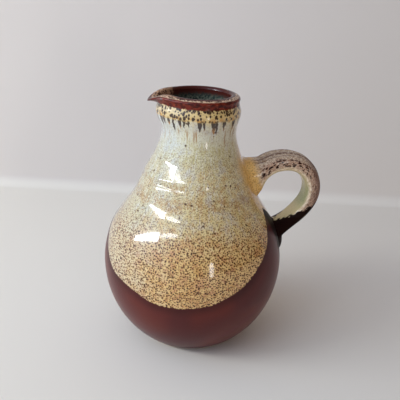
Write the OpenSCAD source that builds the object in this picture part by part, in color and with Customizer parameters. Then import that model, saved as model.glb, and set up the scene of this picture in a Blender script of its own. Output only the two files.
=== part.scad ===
// Stoneware jug with a pulled spout and a strap handle, in millimetres
// The foot stands on z = 0 and the jug's axis is Z
// The handle points along +X and the spout along -X

/* [Belly and foot] */
// Widest width of the clay belly
belly_d = 142; // [110:1:190]
// Height of the belly's widest place above the foot
belly_h = 66; // [50:1:90]
// Width of the foot ring
foot_d = 73; // [50:1:95]
// Height of the turned foot below the belly's curve
foot_h = 2.4; // [1.5:0.1:5]
// Width of the ring that the jug stands on
foot_ring_w = 6; // [4:0.5:10]
// Depth of the hollow under the base
foot_recess = 1.8; // [0.8:0.1:3]
// Thickness of the clay wall
wall_t = 5.2; // [3.5:0.1:7]
// Height of the floor inside above the foot
floor_h = 7.5; // [6:0.5:12]

/* [Shoulder and ridges] */
// Height from the widest place up to the narrowest place of the neck
shoulder_h = 106; // [80:1:130]
// Number of throwing ridges
ridge_n = 3; // [1:1:4]
// Height of the top ridge above the widest place
ridge_top_h = 71; // [60:0.5:76]
// Distance from ridge to ridge
ridge_pitch = 8.4; // [6:0.1:10]
// Height of a ridge from groove to crest
ridge_rise = 0.9; // [0.2:0.1:1.5]

/* [Neck, collar and lip] */
// Width of the clay neck at its narrowest place
neck_d = 56.4; // [48:0.2:70]
// Height from the narrowest place to the crest of the lip
collar_h = 28.6; // [24:0.2:36]
// Height of the collar bead above the narrowest place
bead_h = 15.8; // [13:0.2:17]
// Half height of the bead below its middle
bead_low = 8; // [5:0.2:10]
// Half height of the bead above its middle
bead_high = 5.4; // [3:0.2:6.5]
// Rise of the bead above the neck
bead_rise = 2.2; // [1:0.1:3.5]
// Widening of the neck below the lip
neck_flare = 0.5; // [0:0.1:2]
// Width across the outside of the lip
lip_d = 59; // [52:0.2:74]
// Fall of the lip's top from the crest to the outer edge
lip_fall = 2.5; // [1:0.1:3]
// Height above the narrowest place at which the rim band begins
band_h = 22; // [20:0.2:23]

/* [Spout] */
// Reach of the spout's tip beyond the lip
spout_reach = 10; // [4:0.5:16]
// Bulge of the throat below the spout
throat_out = 2.2; // [0:0.1:4]
// Droop of the tip
spout_droop = 5; // [0:0.2:8]
// Rise of the lip beside the tip
spout_lift = 1; // [0:0.1:2]
// Half angle of the whole spout
spout_angle = 34; // [24:1:44]
// Half angle of the pinched tip
tip_angle = 15; // [10:1:20]

/* [Handle] */
// Height of the upper root above the belly's widest place
root_h = 66.7; // [60:0.1:70]
// Rising angle of the strap at its root
root_angle = 59; // [45:1:65]
// Height of the highest place of the strap's middle line above the root
crown_rise = 16.2; // [12:0.1:24]
// Distance from the shoulder out to the highest place
crown_out = 34.3; // [28:0.1:42]
// Height of the farthest place below the root
reach_drop = 6.6; // [2:0.1:10]
// Distance from the shoulder out to the farthest place
reach_out = 51.3; // [44:0.1:58]
// Height of the lower root above the belly's widest place
tail_h = 24.2; // [18:0.1:30]
// Angle at which the strap meets the belly
tail_angle = 34; // [28:1:46]
// Width of the strap at the upper root
strap_root_w = 24; // [18:0.2:28]
// Width of the strap at its foot
strap_foot_w = 20; // [15:0.2:24]
// Thickness of the strap at the upper root
strap_root_t = 15.8; // [11:0.2:18]
// Thickness of the strap at its foot
strap_foot_t = 8.6; // [7:0.2:12]
// Depth of the three grooves along the strap
groove_depth = 0.9; // [0:0.1:1.4]
// Spread of the luting clay round the upper root
upper_spread = 2.4; // [1:0.1:5]
// Spread of the luting clay round the lower root
lower_spread = 2; // [1:0.1:5]
// Length of strap that the luting clay covers
luting_len = 17; // [14:0.5:22]
// Height of the clay web between the neck and the strap above the upper root
web_h = 17.5; // [12:0.5:21]
// Length of the thumbed tail below the lower root
tail_len = 17; // [8:0.5:20]
// Thickness of the thumbed tail
tail_t = 4.6; // [1.5:0.1:6]

/* [Glaze] */
// Thickness of the glaze
glaze_t = 0.6; // [0.4:0.1:1]
// Tilt of the jug in the cream dip
dip_tilt = 39.7; // [30:0.1:50]
// Turn of the dip away from square to the handle
dip_turn = 17; // [-25:1:25]
// Distance of the dip line from the belly's middle
dip_offset = 37.5; // [30:0.5:44]
// Height of the cream on the handle above the belly's widest place
strap_border_h = 39; // [34:0.5:46]

/* [Hidden] */

belly_r = belly_d / 2;
foot_r = foot_d / 2;
neck_r = neck_d / 2;
lip_r = lip_d / 2;
bore_r = neck_r - wall_t;
neck_z = belly_h + shoulder_h;
crest_z = neck_z + collar_h;
lip_z = crest_z - lip_fall;
bead_z = neck_z + bead_h;
band_z = neck_z + band_h;
belly_drop = belly_h / sqrt(1 - pow(foot_r / belly_r, 2));

// Steps of the outlines and of the curved surfaces
belly_steps = 14;
ridge_steps = 8;
shoulder_step = belly_h / belly_steps;
round_n = 60;
turn_n = 96;
neck_steps = 10;
band_steps = 5;
strap_n = 32;
path_steps = 9;

// Seats that keep neighbouring solids apart or joined
seam_gap = glaze_t / 12;
tenon_h = wall_t / 2;
tenon_inset = wall_t / 4;
facet_inset = glaze_t / 12;
facet_sag = bore_r / cos(180 / round_n) - bore_r;
root_sink = 1.5 * wall_t;

// How the shoulder's half cosine is filled out below and above its middle
full_share = 0.038;
full_at_share = 0.25;
full_width_share = 0.11;
cone_share = 0.11;
cone_at_share = 0.775;
cone_width_share = 0.13;

// The lip's top from its outer edge to the mouth: share of the way across, share of the fall
lip_shares = [[0, 0], [0.06, 0.38], [0.26, 0.66], [0.5, 0.87], [0.74, 1], [0.92, 0.84], [1, 0.3]];

// Share of the spout's reach in its wide lobe
lobe_share = 0.45;

function bump(x, at, width) = exp(-pow((x - at) / width, 2));
function soft_step(x) = let (c = min(max(x, 0), 1)) c * c * (3 - 2 * c);
function last(v) = v[len(v) - 1];
function reverse(v) = [for (i = [len(v) - 1:-1:0]) v[i]];

// Outer radius of the clay at a height, without ridges
function lower_r(z) = belly_r * sqrt(max(0, 1 - pow((belly_h - z) / belly_drop, 2)));
function shoulder_share(u) = (1 + cos(180 * u)) / 2
    + sin(180 * u) * full_share * bump(u, full_at_share, full_width_share)
    + sin(180 * u) * cone_share * bump(u, cone_at_share, cone_width_share);
function upper_r(z) = neck_r + (belly_r - neck_r) * shoulder_share((z - belly_h) / shoulder_h);
function plain_r(z) = z < belly_h ? lower_r(z) : upper_r(min(z, neck_z));

// The throwing ridges fade in below the first and out above the last
ridge_fade = ridge_pitch / 2;
ridge_top_z = belly_h + ridge_top_h;
ridge_low_z = ridge_top_z - (ridge_n - 1) * ridge_pitch - 1.5 * ridge_fade;
ridge_high_z = ridge_top_z + 1.5 * ridge_fade;
function ridge(z) = ridge_rise / 2 * cos(360 * (z - ridge_top_z) / ridge_pitch)
    * soft_step((z - ridge_low_z) / ridge_fade) * soft_step((ridge_high_z - z) / ridge_fade);
function body_r(z) = plain_r(z) + ridge(z);

// Outer radius of the collar above the narrowest place of the neck
bead_power = 2.4;
function bead_width(z) = z < bead_z ? bead_low : bead_high;
function collar_r(z) = neck_r + neck_flare * (z - neck_z) / collar_h
    + bead_rise * exp(-pow(abs(z - bead_z) / bead_width(z), bead_power)) * soft_step((z - neck_z) / bead_low)
    + (lip_r - neck_r - neck_flare) * pow(max(0, (z - band_z) / (lip_z - band_z)), 2);

// Normals of an outline, and the outline moved out along them
function outline_turn(v, i) = let (a = v[max(i - 1, 0)], b = v[min(i + 1, len(v) - 1)], d = b - a) d / norm(d);
function moved_out(v, t) = [for (i = [0:len(v) - 1]) let (d = outline_turn(v, i)) v[i] + t * [d[1], -d[0]]];

// Heights of the outline's points: close together over the ridges
foot_turn = asin((belly_h - foot_h) / belly_drop);
lower_outline = [for (i = [0:belly_steps]) let (a = foot_turn * (1 - i / belly_steps))
    [belly_r * cos(a), belly_h - belly_drop * sin(a)]];
function spread(z0, z1, n) = [for (i = [0:n]) z0 + (z1 - z0) * i / n];
low_steps = ceil((ridge_low_z - belly_h) / shoulder_step);
high_steps = ceil((neck_z - ridge_high_z) / shoulder_step);
shoulder_zs = concat(
    [for (i = [1:low_steps - 1]) belly_h + (ridge_low_z - belly_h) * i / low_steps],
    spread(ridge_low_z, ridge_high_z, ridge_n * ridge_steps),
    [for (i = [1:high_steps]) ridge_high_z + (neck_z - ridge_high_z) * i / high_steps]);
outer_outline = concat(lower_outline, [for (z = shoulder_zs) [body_r(z), z]]);

// The inside follows the smooth outside at one wall's distance
plain_outline = concat(lower_outline, [for (z = shoulder_zs) [plain_r(z), z]]);
wall_outline = [for (p = moved_out(plain_outline, -wall_t)) if (p[1] > floor_h && p[1] < neck_z - tenon_h) p];
floor_r = (belly_r - wall_t) * sqrt(1 - pow((belly_h - floor_h) / (belly_drop - wall_t), 2));
inner_outline = concat([[0, floor_h], [floor_r - wall_t, floor_h]], wall_outline, [[bore_r, neck_z]]);

// Solids made of rings of points, closed round and either closed along or capped
function ring_faces(n, m, closed) = [for (j = [0:closed ? n - 1 : n - 2]) for (i = [0:m - 1])
    let (a = j * m + i, b = j * m + (i + 1) % m, c = (j + 1) % n * m + (i + 1) % m, d = (j + 1) % n * m + i)
    for (f = [[a, c, b], [a, d, c]]) f];
module loop_solid(rings) {
    n = len(rings);
    m = len(rings[0]);
    polyhedron([for (r = rings) each r], ring_faces(n, m, true));
}
module rod_solid(rings) {
    n = len(rings);
    m = len(rings[0]);
    polyhedron([for (r = rings) each r],
        concat(ring_faces(n, m, false), [[for (i = [0:m - 1]) i], [for (i = [m - 1:-1:0]) (n - 1) * m + i]]));
}

// The spout draws every ring of the collar out and down
throat_top_z = bead_z;
beak_low_z = (bead_z + band_z) / 2;
function throat_share(z) = soft_step((z - neck_z) / (throat_top_z - neck_z));
function beak_share(z) = pow(min(max(0, (z - beak_low_z) / (lip_z - beak_low_z)), 1), 2);
function collar_point(p, turn) = let (
    lobe = bump(turn, 0, spout_angle),
    tip = bump(turn, 0, tip_angle),
    beak = beak_share(p[1]),
    out = throat_out * lobe * throat_share(p[1])
        + (spout_reach - throat_out) * beak * (lobe_share * lobe + (1 - lobe_share) * tip),
    rise = beak * (spout_lift * lobe - spout_droop * tip))
    [-(p[0] + out) * cos(turn), -(p[0] + out) * sin(turn), p[1] + rise];
function collar_ring(p) = [for (i = [0:round_n - 1]) collar_point(p, 360 * i / round_n - 180)];
module collar(outline) {
    loop_solid([for (p = outline) collar_ring(p)]);
}

// Outlines of the collar's outside, lip and inside, shared by the clay and its glazes
neck_side = [for (z = spread(neck_z, band_z, neck_steps)) [collar_r(z), z]];
band_side = [for (z = spread(band_z, lip_z, band_steps)) [collar_r(z), z]];
lip_top = [for (s = lip_shares) [lip_r + (bore_r - lip_r) * s[0], lip_z + lip_fall * s[1]]];
bore_side = [for (z = spread(last(lip_top)[1], neck_z, band_steps)) [bore_r, z]];
function after_first(v) = [for (i = [1:len(v) - 1]) v[i]];
collar_outline = concat(neck_side, after_first(band_side), after_first(lip_top), after_first(bore_side));
glazed_outline = moved_out(collar_outline, glaze_t);
neck_n = len(neck_side);
rim_n = neck_n + len(band_side) + len(lip_top) - 2;
function part_of(v, i0, i1) = [for (i = [i0:i1]) v[i]];
function coat_of(i0, i1) = concat(part_of(glazed_outline, i0, i1), reverse(part_of(collar_outline, i0, i1)));

// Middle line of the handle as three joined curves in the XZ plane
root_p = [body_r(belly_h + root_h) - root_sink * cos(root_angle), belly_h + root_h - root_sink * sin(root_angle)];
crown_z = belly_h + root_h + crown_rise;
reach_z = belly_h + root_h - reach_drop;
crown_p = [plain_r(belly_h + root_h) + crown_out - wall_t, crown_z];
reach_p = [plain_r(belly_h + root_h) + reach_out, reach_z];
tail_z = belly_h + tail_h;
tail_p = [plain_r(tail_z) - root_sink * cos(tail_angle), tail_z - root_sink * sin(tail_angle)];
// Shares of the way between two places at which a curve's handles lie
pull_share = 0.55;
function curve(a, b, c, d, t) = pow(1 - t, 3) * a + 3 * t * pow(1 - t, 2) * b + 3 * t * t * (1 - t) * c + pow(t, 3) * d;
function curve_points(a, b, c, d) = [for (i = [0:path_steps]) curve(a, b, c, d, i / path_steps)];
root_pull = norm(crown_p - root_p) * pull_share * [cos(root_angle), sin(root_angle)];
crown_pull = [(reach_p[0] - crown_p[0]) * pull_share, 0];
reach_pull = [0, (crown_z - reach_z) * pull_share];
tail_pull = norm(reach_p - tail_p) * pull_share * [cos(tail_angle), sin(tail_angle)];
strap_line = concat(
    curve_points(root_p, root_p + root_pull, crown_p - crown_pull, crown_p),
    after_first(curve_points(crown_p, crown_p + crown_pull, reach_p + reach_pull, reach_p)),
    after_first(curve_points(reach_p, reach_p - reach_pull, tail_p + tail_pull, tail_p)));
line_n = len(strap_line);
function steps_len(i0, i1) = i0 >= i1 ? 0 : norm(strap_line[i0 + 1] - strap_line[i0]) + steps_len(i0 + 1, i1);
line_len = steps_len(0, line_n - 1);
function root_len(i) = steps_len(0, i);
function tail_dist(i) = line_len - root_len(i);

// The web narrows towards its top, and runs into the strap in a fillet
web_narrow_share = 0.5;
web_fillet = wall_t / 2;

// Section of the strap: a rounded slab with three grooves along its outer face
round_power = 2.8;
groove_pitch_share = 0.5;
groove_field_share = 0.75;
function rounded(c) = sign(c) * pow(abs(c), 2 / round_power);
function groove(y) = abs(y) > groove_field_share ? 0 : (1 + cos(360 * y / groove_pitch_share)) / 2;
function along(i) = root_len(i) / line_len;
function half_t(i) = (strap_root_t + (strap_foot_t - strap_root_t) * along(i)) / 2;
function half_w(i) = (strap_root_w + (strap_foot_w - strap_root_w) * along(i)) / 2;
function strap_ring(i, side, top, out) = let (d = outline_turn(strap_line, i), p = strap_line[i])
    [for (k = [0:strap_n - 1]) let (
        a = 360 * k / strap_n,
        y = rounded(cos(a)),
        deep = sin(a) > 0 ? groove_depth * groove(y) * exp(-top / groove_depth) : 0,
        n = (half_t(i) + (sin(a) > 0 ? top : side)) * rounded(sin(a)) - deep + out * sin(a),
        narrow = 1 - web_narrow_share * max(0, sin(a)) * top / (top + half_w(i)))
        [p[0] - n * d[1], (half_w(i) + side + out) * y * narrow, p[1] + n * d[0]]];

// Spread of the luting clay, widest at a root and gone at the luting's end
web_z = belly_h + root_h + web_h;
function spread_at(dist) = pow(min(max(0, 1 - (dist - root_sink) / luting_len), 1), 2);
function side_at(i) = upper_spread * spread_at(root_len(i)) + lower_spread * spread_at(tail_dist(i));
// The web's top is level between the neck and the strap, and runs into the strap in a fillet
function web_gap(i) = let (nz = outline_turn(strap_line, i)[0]) (web_z - strap_line[i][1]) / nz - half_t(i);
function web_at(i) = let (x = i < path_steps ? max(0, web_gap(i)) : 0) x * x / (x + web_fillet);
function top_at(i) = side_at(i) + web_at(i);
function luted_ring(i, out) = strap_ring(i, side_at(i), top_at(i), out);
function bare_ring(i) = strap_ring(i, 0, 0, 0);
upper_end = max([for (i = [0:line_n - 1]) if (root_len(i) < root_sink + luting_len) i]) + 1;
lower_end = min([for (i = [0:line_n - 1]) if (tail_dist(i) < root_sink + luting_len) i]) - 1;
border_i = min([for (i = [0:line_n - 1]) if (i > 2 * path_steps && strap_line[i][1] < belly_h + strap_border_h) i]);

module clay_bulk() {
    rotate_extrude($fn = turn_n) polygon(concat([[0, 0], [foot_r, 0]], outer_outline, [[0, neck_z]]));
}
module glazed_bulk() {
    rotate_extrude($fn = turn_n) polygon(concat([[0, 0], [foot_r, 0]], moved_out(outer_outline, glaze_t), [[0, neck_z]]));
}
module luted_rod(i0, i1, out) {
    rod_solid([for (i = [i0:i1]) luted_ring(i, out)]);
}
module luted_handle() {
    luted_rod(0, line_n - 1, 0);
    thumb_tail(0);
}

// The thumbed tail is a tongue of clay, pressed down the belly below the strap
tail_steps = 9;
tail_n = 20;
tail_width_share = 0.47;
tail_end_share = 0.02;
tail_axis = [for (z = spread(tail_z, tail_z - tail_len, tail_steps)) [plain_r(z), z]];
function tail_ring(j, out) = let (
    d = outline_turn(tail_axis, j),
    u = min(j / tail_steps, 1 - tail_end_share),
    fat = sqrt(1 - u * u),
    p = tail_axis[j] + (j == 0 ? -out : j == tail_steps ? out : 0) * d)
    [for (k = [0:tail_n - 1]) let (
        a = 360 * k / tail_n,
        n = (tail_t * fat + out) * sin(a),
        y = (strap_foot_w * tail_width_share * fat + out) * cos(a))
        [p[0] - n * d[1], y, p[1] + n * d[0]]];
module thumb_tail(out) {
    rod_solid([for (j = [0:tail_steps]) tail_ring(j, out)]);
}

module thrown_body() {
    color("burlywood") union() {
        difference() {
            rotate_extrude($fn = turn_n) polygon(concat(
                [[0, foot_recess], [foot_r - foot_ring_w - foot_recess, foot_recess], [foot_r - foot_ring_w, 0],
                 [foot_r, 0], [foot_r, foot_h / 2]],
                outer_outline, [[0, neck_z]]));
            rotate_extrude($fn = turn_n) polygon(concat(inner_outline, [[bore_r, crest_z], [0, crest_z]]));
        }
        collar(concat([[neck_r - tenon_inset, neck_z - tenon_h], [neck_r - facet_inset, neck_z]],
            after_first(part_of(collar_outline, 0, len(collar_outline) - 2)),
            [[bore_r + facet_sag + facet_inset, neck_z], [bore_r + tenon_inset, neck_z - tenon_h]]));
    }
}

module handle() {
    color("tan") difference() {
        rod_solid([for (i = [0:line_n - 1]) bare_ring(i)]);
        clay_bulk();
    }
}

module upper_joint() {
    color("peru") difference() {
        loop_solid(concat([for (i = [0:upper_end]) luted_ring(i, 0)], [for (i = [upper_end - 1:-1:0]) bare_ring(i)]));
        clay_bulk();
    }
}

module lower_joint() {
    color("peru") difference() {
        union() {
            luted_rod(lower_end, line_n - 1, 0);
            thumb_tail(0);
        }
        rod_solid([for (i = [lower_end - 1:line_n - 1]) bare_ring(i)]);
        clay_bulk();
    }
}

module dip_side(turn) {
    translate([0, 0, belly_h]) rotate([0, 0, turn]) rotate([dip_tilt, 0, 0])
        translate([-crest_z, -crest_z, dip_offset]) cube(2 * crest_z);
}
module cream_dips() {
    dip_side(-dip_turn);
    dip_side(180 - dip_turn);
}
module belly_coat() {
    outer = moved_out(outer_outline, glaze_t);
    top = neck_z - seam_gap;
    difference() {
        rotate_extrude($fn = turn_n) polygon(concat(outer_outline, reverse(outer)));
        luted_handle();
        translate([-crest_z, -crest_z, top]) cube(2 * crest_z);
    }
}

module brown_glaze() {
    color("#5a2b28") difference() {
        belly_coat();
        cream_dips();
    }
}

module cream_glaze() {
    color("#cdb78a") {
        intersection() {
            belly_coat();
            cream_dips();
        }
        collar(coat_of(0, neck_n - 1));
    }
}

module rim_glaze() {
    color("#6e2f26") collar(coat_of(neck_n - 1, rim_n - 1));
}

module liner_glaze() {
    color("#3b4038") {
        difference() {
            rotate_extrude($fn = turn_n) polygon(concat(inner_outline, [[0, neck_z]]));
            rotate_extrude($fn = turn_n) polygon(concat(coated_inside, [[coated_r, crest_z], [0, crest_z]]));
            translate([-crest_z, -crest_z, neck_z - seam_gap]) cube(2 * crest_z);
        }
        collar(coat_of(rim_n - 1, len(collar_outline) - 1));
    }
}
coated_r = bore_r - glaze_t;
coated_inside = [for (p = moved_out(inner_outline, -glaze_t)) [max(0, p[0]), p[1]]];

module handle_cream_glaze() {
    color("#c9bfa4") difference() {
        loop_solid(concat([for (i = [0:border_i]) luted_ring(i, glaze_t)], [for (i = [border_i:-1:0]) luted_ring(i, 0)]));
        glazed_bulk();
    }
}

module handle_brown_glaze() {
    color("#2e1a17") difference() {
        union() {
            luted_rod(border_i, line_n - 1, glaze_t);
            thumb_tail(glaze_t);
        }
        luted_rod(border_i - 1, line_n - 1, 0);
        thumb_tail(0);
        glazed_bulk();
    }
}

thrown_body();
handle();
upper_joint();
lower_joint();
liner_glaze();
brown_glaze();
cream_glaze();
rim_glaze();
handle_cream_glaze();
handle_brown_glaze();
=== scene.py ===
import bmesh
import bpy
import numpy as np
from mathutils import Matrix, Vector


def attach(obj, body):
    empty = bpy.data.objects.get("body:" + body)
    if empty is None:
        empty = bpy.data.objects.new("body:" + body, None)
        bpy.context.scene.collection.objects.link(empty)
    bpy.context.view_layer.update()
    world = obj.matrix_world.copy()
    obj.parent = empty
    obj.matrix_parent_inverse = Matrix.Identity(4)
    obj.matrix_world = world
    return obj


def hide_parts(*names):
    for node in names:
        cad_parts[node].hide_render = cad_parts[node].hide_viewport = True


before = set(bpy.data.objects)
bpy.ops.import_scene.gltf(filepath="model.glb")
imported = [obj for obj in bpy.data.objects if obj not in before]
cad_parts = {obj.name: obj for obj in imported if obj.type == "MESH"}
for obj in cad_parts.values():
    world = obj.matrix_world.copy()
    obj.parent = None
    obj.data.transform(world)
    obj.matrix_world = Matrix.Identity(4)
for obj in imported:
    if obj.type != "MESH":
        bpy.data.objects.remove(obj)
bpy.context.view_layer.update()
print("frame loaded")

# Shapes are worked out in millimetres in the jug's own frame: foot on z = 0, axis Z, handle along +X
metre = 0.001


# Small curves that several pieces share

def softStep(x):
    # Smooth rise from 0 to 1 as x goes from 0 to 1: 3x^2 - 2x^3
    x = np.clip(x, 0, 1)
    return x * x * (3 - 2 * x)


def bump(x, at, width):
    # Bell of height 1 round a place: exp(-((x - at) / width)^2)
    return np.exp(-((x - at) / width) ** 2)


def smoothed(points, times):
    # Corner cutting: each span gives its points at a quarter and three quarters, and the ends stay
    for _ in range(times):
        a, b = points[:-1], points[1:]
        cut = np.stack([0.75 * a + 0.25 * b, 0.25 * a + 0.75 * b], 1).reshape(-1, points.shape[1])
        points = np.concatenate([points[:1], cut[1:-1], points[-1:]])
    return points


def movedOut(outline, distance):
    # An outline of radius and height moved along its normals, which lie to the right of its run
    along = np.gradient(outline, axis=0)
    along /= np.linalg.norm(along, axis=1, keepdims=True)
    return outline + distance * np.stack([along[:, 1], -along[:, 0]], 1)


# The thrown pot: what the body, its coats and the spout all follow

pot = dict(
    bellyR=71.0, bellyZ=66.0,       # widest place
    footR=36.5, footH=2.4,          # foot ring and the turned step above it
    neckR=28.2, neckZ=172.0,        # narrowest place
    wall=5.2, floorZ=7.5,           # clay wall and floor
    glaze=0.6,                      # thickness of every coat
    fullest=(0.038, 0.25, 0.11),    # filling of the shoulder low down: share, place and width
    cone=(0.11, 0.775, 0.13),       # filling of the shoulder high up
)
# Throwing ridges: height, how far the wall stands out there, and its slope just above and just below
ridges = dict(
    heights=(84.0, 98.0, 107.0, 115.5, 119.0, 123.5, 131.5, 135.0, 138.0, 140.6, 149.0, 153.8, 161.0, 172.0),
    rises=(0.0, 0.25, 0.42, 0.04, 0.05, 0.32, 0.97, 0.80, 0.28, 0.62, -0.42, -0.12, 0.56, 0.0),
    above=(0.0, 0.02, 0.0, 0.0, 0.01, 0.13, 0.015, -0.42, 0.10, -0.26, 0.0, 0.175, 0.0, 0.0),
    below=(0.0, 0.02, 0.0, -0.06, 0.01, 0.13, 0.015, -0.08, 0.10, 0.10, 0.0, 0.175, 0.0, 0.0),
    blunt=0.5,                      # half height over which the glaze rounds a crest
)
collar = dict(
    crestZ=200.6, lipFall=2.5, lipR=29.5, boreR=23.0, flare=0.5,
    beadZ=187.8, beadLow=8.0, beadHigh=5.4, beadRise=2.2, beadPower=2.4,
    bandZ=194.0,                    # the red band starts here
)
lipShares = [(0, 0), (0.06, 0.38), (0.26, 0.66), (0.5, 0.87), (0.74, 1), (0.92, 0.84), (1, 0.3)]
spout = dict(
    reach=10.0, throat=2.2, droop=5.0, lift=1.0,
    wide=34.0, tip=15.0,            # half angles of the lobe and of the pinched tip
    lobeShare=0.45,
)

bellyDrop = pot["bellyZ"] / np.sqrt(1 - (pot["footR"] / pot["bellyR"]) ** 2)
shoulderH = pot["neckZ"] - pot["bellyZ"]
lipZ = collar["crestZ"] - collar["lipFall"]
collarH = collar["crestZ"] - pot["neckZ"]


def plainR(z):
    # Below the widest place an ellipse; above it a half cosine down to the neck, filled out twice
    low = pot["bellyR"] * np.sqrt(np.maximum(0, 1 - ((pot["bellyZ"] - z) / bellyDrop) ** 2))
    u = np.clip((z - pot["bellyZ"]) / shoulderH, 0, 1)
    share = (1 + np.cos(np.pi * u)) / 2
    for fill, at, width in (pot["fullest"], pot["cone"]):
        share = share + np.sin(np.pi * u) * fill * bump(u, at, width)
    high = pot["neckR"] + (pot["bellyR"] - pot["neckR"]) * share
    return np.where(z < pot["bellyZ"], low, high)


def ridgeRise(z):
    # Cubic Hermite curves from ridge to ridge: (1+2u)(1-u)^2 a + u^2(3-2u) b + u(1-u)^2 s - u^2(1-u) t
    rise = np.zeros_like(z)
    spans = zip(ridges["heights"][:-1], ridges["heights"][1:], ridges["rises"][:-1], ridges["rises"][1:],
                ridges["above"][:-1], ridges["below"][1:])
    for low, high, a, b, s, t in spans:
        for shift in (-1, 0, 1):
            u = (z + shift * ridges["blunt"] - low) / (high - low)
            curve = ((1 + 2 * u) * (1 - u) ** 2 * a + u * u * (3 - 2 * u) * b
                     + (high - low) * (u * (1 - u) ** 2 * s - u * u * (1 - u) * t))
            rise = rise + np.where((u >= 0) & (u < 1), curve, 0) / 3
    return rise


def collarR(z):
    # Neck with a slight flare, the bead as a flat-topped bell, and the lip curling out as a parabola
    width = np.where(z < collar["beadZ"], collar["beadLow"], collar["beadHigh"])
    bead = np.exp(-(np.abs(z - collar["beadZ"]) / width) ** collar["beadPower"])
    curl = (collar["lipR"] - pot["neckR"] - collar["flare"]) * np.maximum(
        0, (z - collar["bandZ"]) / (lipZ - collar["bandZ"])) ** 2
    return (pot["neckR"] + collar["flare"] * (z - pot["neckZ"]) / collarH
            + collar["beadRise"] * bead * softStep((z - pot["neckZ"]) / collar["beadLow"]) + curl)


def clayR(z):
    # Radius of the clay: the plain pot with its ridges up to the neck, and the collar above it
    return np.where(z < pot["neckZ"], plainR(z) + ridgeRise(z), collarR(z))


def clayLean(z, step=0.05):
    # How fast the clay's radius grows with height, over a short step: dr/dz
    return (clayR(z + step) - clayR(z - step)) / (2 * step)


def coatedPoint(z, distance):
    # The clay's outline at a height, moved out along its normal: (1, -dr/dz) made one long
    slope = clayLean(z)
    push = distance / np.sqrt(1 + slope ** 2)
    return clayR(z) + push, z - push * slope


def glazedR(z):
    # Radius of the glazed surface at a height, measured straight out: r + coat * sqrt(1 + (dr/dz)^2)
    return clayR(z) + pot["glaze"] * np.sqrt(1 + clayLean(z) ** 2)


def turned(r, z, angle):
    # Turns radius and height round the axis, then draws the collar out and down into the spout.
    # The pull is a wide lobe and a narrow tip, both bells of the angle from the spout's middle
    turn = np.degrees((angle % (2 * np.pi)) - np.pi)
    lobe = bump(turn, 0, spout["wide"])
    tip = bump(turn, 0, spout["tip"])
    beakLow = (collar["beadZ"] + collar["bandZ"]) / 2
    beak = np.clip((z - beakLow) / (lipZ - beakLow), 0, 1) ** 2
    throat = softStep((z - pot["neckZ"]) / (collar["beadZ"] - pot["neckZ"]))
    pull = spout["throat"] * lobe * throat + (spout["reach"] - spout["throat"]) * beak * (
        spout["lobeShare"] * lobe + (1 - spout["lobeShare"]) * tip)
    lift = beak * (spout["lift"] * lobe - spout["droop"] * tip)
    return np.stack([(r + pull) * np.cos(angle), (r + pull) * np.sin(angle), z + lift], -1)


# The two cream dips: planes tilted to both sides of the jug, cream above either of them

dips = dict(tilt=39.7, towards=-107.0, offset=37.5, sag=5.5, sagFrom=-0.7, halvings=40)


def dipHeight(r, z, angle):
    # Distance above the nearer dip plane, with a sag of the cream on the spout's side:
    # sin(tilt) r |cos(angle - towards)| + cos(tilt) (z - belly) - offset + sag
    tilt = np.radians(dips["tilt"])
    across = np.abs(np.cos(angle - np.radians(dips["towards"])))
    sag = dips["sag"] * softStep((np.cos(angle) - dips["sagFrom"]) / (-1 - dips["sagFrom"]))
    return np.sin(tilt) * r * across + np.cos(tilt) * (z - pot["bellyZ"]) - dips["offset"] + sag


def dipBorder(angle):
    # Height of the border along each meridian, by halving the interval in which the sign changes
    low = np.full_like(angle, pot["footH"])
    high = np.full_like(angle, pot["neckZ"])
    for _ in range(dips["halvings"]):
        middle = (low + high) / 2
        under = dipHeight(glazedR(middle), middle, angle) < 0
        low = np.where(under, middle, low)
        high = np.where(under, high, middle)
    return (low + high) / 2


# Making meshes

# Degrees over which an edge stays sharp, and metres within which points merge
meshing = dict(crease=55, weld=1e-6)


def addPiece(name, rows, node, material, attributes=None, pole=False):
    # A closed skin from a grid of points (rows x columns x 3) that is joined round both ways
    count, wide = rows.shape[:2]
    j, i = np.meshgrid(np.arange(count), np.arange(wide), indexing="ij")
    nextJ, nextI = (j + 1) % count, (i + 1) % wide
    square = [j * wide + i, j * wide + nextI, nextJ * wide + nextI, nextJ * wide + i]
    faces = np.stack(square, -1).reshape(-1, 4)
    points = rows.reshape(-1, 3)
    corner = points[faces]
    volume = np.einsum("ij,ij->", corner[:, 0], np.cross(corner[:, 1], corner[:, 2]))
    volume += np.einsum("ij,ij->", corner[:, 0], np.cross(corner[:, 2], corner[:, 3]))
    if volume < 0:
        faces = faces[:, ::-1]
    mesh = bpy.data.meshes.new(name)
    mesh.vertices.add(len(points))
    mesh.vertices.foreach_set("co", (points * metre).ravel())
    mesh.loops.add(faces.size)
    mesh.loops.foreach_set("vertex_index", faces.ravel().astype(np.int32))
    mesh.polygons.add(len(faces))
    mesh.polygons.foreach_set("loop_start", np.arange(0, faces.size, 4, dtype=np.int32))
    mesh.update(calc_edges=True)
    for key, values in (attributes or {}).items():
        marks = mesh.attributes.new(key, "FLOAT", "POINT")
        marks.data.foreach_set("value", values.ravel().astype(np.float32))
    if pole:
        merged = bmesh.new()
        merged.from_mesh(mesh)
        bmesh.ops.remove_doubles(merged, verts=merged.verts, dist=meshing["weld"])
        merged.to_mesh(mesh)
        merged.free()
    mesh.validate()
    mesh.shade_smooth()
    mesh.set_sharp_from_angle(angle=np.radians(meshing["crease"]))
    mesh.materials.append(material)
    piece = bpy.data.objects.new(name, mesh)
    bpy.context.scene.collection.objects.link(piece)
    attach(piece, "root")
    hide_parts(node)
    print(name, len(mesh.vertices), "points")
    return piece


# Shader maths

clearCoat = dict(specular=0.16, ior=1.46, rough=0.05)   # what every glaze shares


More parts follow.
